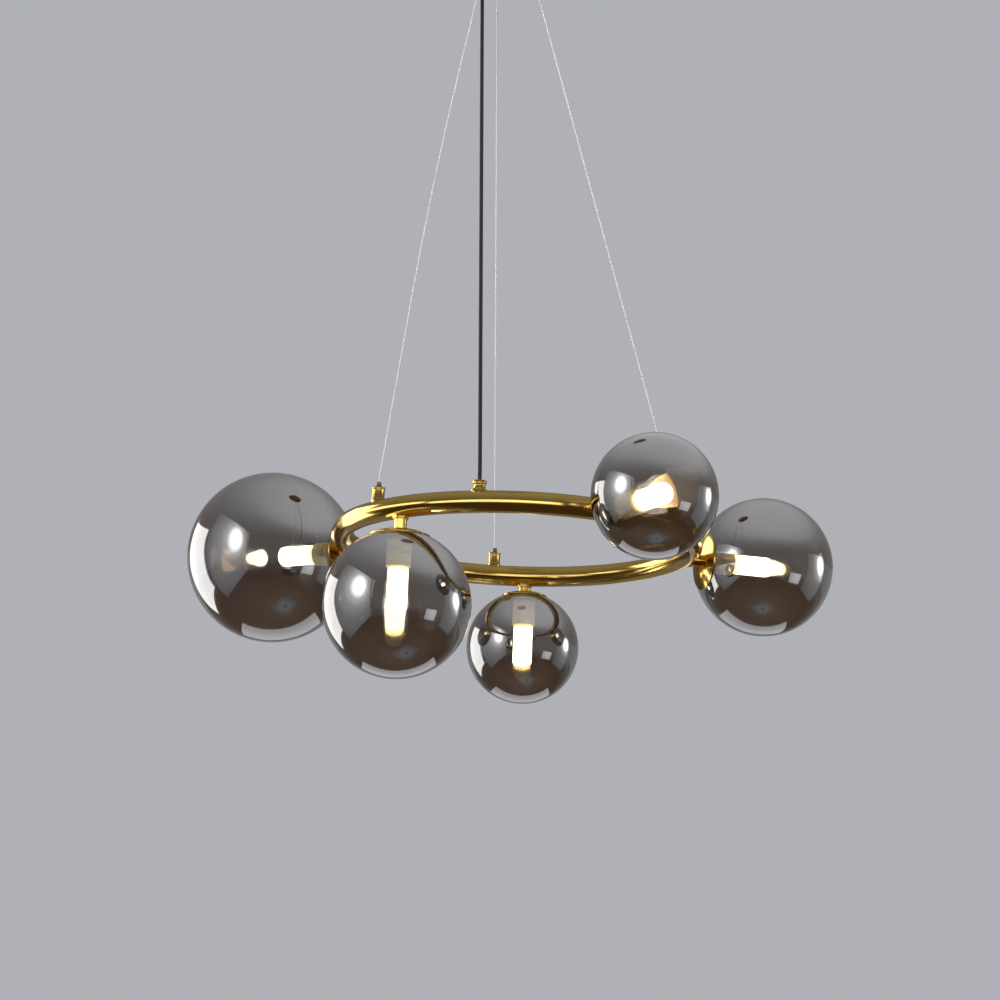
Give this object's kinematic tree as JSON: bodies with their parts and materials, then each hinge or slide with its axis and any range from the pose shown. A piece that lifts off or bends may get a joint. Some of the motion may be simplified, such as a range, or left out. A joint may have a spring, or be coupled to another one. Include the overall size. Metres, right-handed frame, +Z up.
{
  "type": "orb chandelier",
  "caption": "Ceiling light: a brass tube ring hung level on steel wires from a ceiling cup, with mirrored smoke-glass globes on short stems, some hanging and some pointing outwards.",
  "frame": {"origin": "centre of the ceiling bracket's two screw slots, on its upper face against the ceiling", "axes": "+Z up, out of the upper face towards the ceiling; +X along the bracket, to the viewer's right; the picture's viewer looks along +Y from below"},
  "size_m": [0.5647, 0.4349, 0.6973],
  "materials": {
    "brass": "polished, lacquered",
    "brass_screw": "polished",
    "steel": "zinc plated",
    "wire": "drawn stainless wire",
    "nickel": "dark nickel plate",
    "cord": "black jacket",
    "insulation": "silicone jacket",
    "block": "moulded",
    "ceramic": "steatite ceramic",
    "bulb_base": "moulded, with plated pins",
    "bulb_cover": "frosted, lit warm white",
    "smoke_glass": "smoke tint with a half-mirror coat"
  },
  "bodies": {
    "ceiling": {"canopy_cup": "brass", "ceiling_bracket": "steel", "cup_screws": "brass_screw", "earth_screw": "brass_screw", "terminal_block": "block", "terminal_screws": "steel", "block_screw": "steel", "supply_cores": "insulation", "cord_gland": "brass", "gland_nut": "steel", "wire_nipples": "brass", "wire_nipple_nuts": "steel", "wire_stops": "steel", "power_cord": "cord", "suspension_wire_a": "wire", "suspension_wire_b": "wire", "suspension_wire_c": "wire"},
    "ring": {"ring_tube": "brass", "ring_wiring": "insulation", "cord_inlet": "brass", "gripper_body_a": "brass", "gripper_body_b": "brass", "gripper_body_c": "brass", "gripper_spring_a": "steel", "gripper_spring_b": "steel", "gripper_spring_c": "steel", "stem_left": "brass", "stem_front_left": "brass", "stem_rear": "brass", "stem_front_right": "brass", "stem_right": "brass", "lampholder_left": "ceramic", "lampholder_front_left": "ceramic", "lampholder_rear": "ceramic", "lampholder_front_right": "ceramic", "lampholder_right": "ceramic"},
    "plunger_a": {"gripper_plunger_a": "nickel"},
    "plunger_b": {"gripper_plunger_b": "nickel"},
    "plunger_c": {"gripper_plunger_c": "nickel"},
    "globe_left": {"globe_left": "smoke_glass", "globe_cap_left": "brass"},
    "bulb_left": {"bulb_base_left": "bulb_base", "bulb_cover_left": "bulb_cover"},
    "globe_front_left": {"globe_front_left": "smoke_glass", "globe_cap_front_left": "brass"},
    "bulb_front_left": {"bulb_base_front_left": "bulb_base", "bulb_cover_front_left": "bulb_cover"},
    "globe_rear": {"globe_rear": "smoke_glass", "globe_cap_rear": "brass"},
    "bulb_rear": {"bulb_base_rear": "bulb_base", "bulb_cover_rear": "bulb_cover"},
    "globe_front_right": {"globe_front_right": "smoke_glass", "globe_cap_front_right": "brass"},
    "bulb_front_right": {"bulb_base_front_right": "bulb_base", "bulb_cover_front_right": "bulb_cover"},
    "globe_right": {"globe_right": "smoke_glass", "globe_cap_right": "brass"},
    "bulb_right": {"bulb_base_right": "bulb_base", "bulb_cover_right": "bulb_cover"}
  },
  "joints": [
    {"name": "height_adjust", "type": "slide", "parent": "ceiling", "child": "ring", "axis": [0, 0, 1], "range_m": [0, 0.25], "deforming": ["power_cord", "suspension_wire_a", "suspension_wire_b", "suspension_wire_c"]},
    {"name": "plunger_a_press", "type": "slide", "parent": "ring", "child": "plunger_a", "axis": [0, 0, -1], "range_m": [0, 0.002], "stiffness_N_per_m": 600, "springref_m": -0.002, "deforming": ["gripper_spring_a"]},
    {"name": "plunger_b_press", "type": "slide", "parent": "ring", "child": "plunger_b", "axis": [0, 0, -1], "range_m": [0, 0.002], "stiffness_N_per_m": 600, "springref_m": -0.002, "deforming": ["gripper_spring_b"]},
    {"name": "plunger_c_press", "type": "slide", "parent": "ring", "child": "plunger_c", "axis": [0, 0, -1], "range_m": [0, 0.002], "stiffness_N_per_m": 600, "springref_m": -0.002, "deforming": ["gripper_spring_c"]},
    {"name": "globe_left_unscrew", "type": "hinge", "parent": "ring", "child": "globe_left", "pos_m": [-0.18437, 0.09713, -0.558], "axis": [-0.8949, 0.4462, 0], "range_deg": [0, 720]},
    {"name": "bulb_left_pull", "type": "slide", "parent": "ring", "child": "bulb_left", "axis": [-0.8949, 0.4462, 0], "range_m": [0, 0.009]},
    {"name": "globe_front_left_unscrew", "type": "hinge", "parent": "ring", "child": "globe_front_left", "pos_m": [-0.06344, -0.12437, -0.6373], "axis": [0, 0, -1], "range_deg": [0, 720]},
    {"name": "bulb_front_left_pull", "type": "slide", "parent": "ring", "child": "bulb_front_left", "axis": [0, 0, -1], "range_m": [0, 0.009]},
    {"name": "globe_rear_unscrew", "type": "hinge", "parent": "ring", "child": "globe_rear", "pos_m": [0.03928, 0.13774, -0.6229], "axis": [0, 0, -1], "range_deg": [0, 720]},
    {"name": "bulb_rear_pull", "type": "slide", "parent": "ring", "child": "bulb_rear", "axis": [0, 0, -1], "range_m": [0, 0.009]},
    {"name": "globe_front_right_unscrew", "type": "hinge", "parent": "ring", "child": "globe_front_right", "pos_m": [0.13642, -0.19721, -0.558], "axis": [0.4924, -0.8704, 0], "range_deg": [0, 720]},
    {"name": "bulb_front_right_pull", "type": "slide", "parent": "ring", "child": "bulb_front_right", "axis": [0.4924, -0.8704, 0], "range_m": [0, 0.009]},
    {"name": "globe_right_unscrew", "type": "hinge", "parent": "ring", "child": "globe_right", "pos_m": [0.2453, 0.05731, -0.558], "axis": [0.9542, 0.299, 0], "range_deg": [0, 720]},
    {"name": "bulb_right_pull", "type": "slide", "parent": "ring", "child": "bulb_right", "axis": [0.9542, 0.299, 0], "range_m": [0, 0.009]}
  ]
}
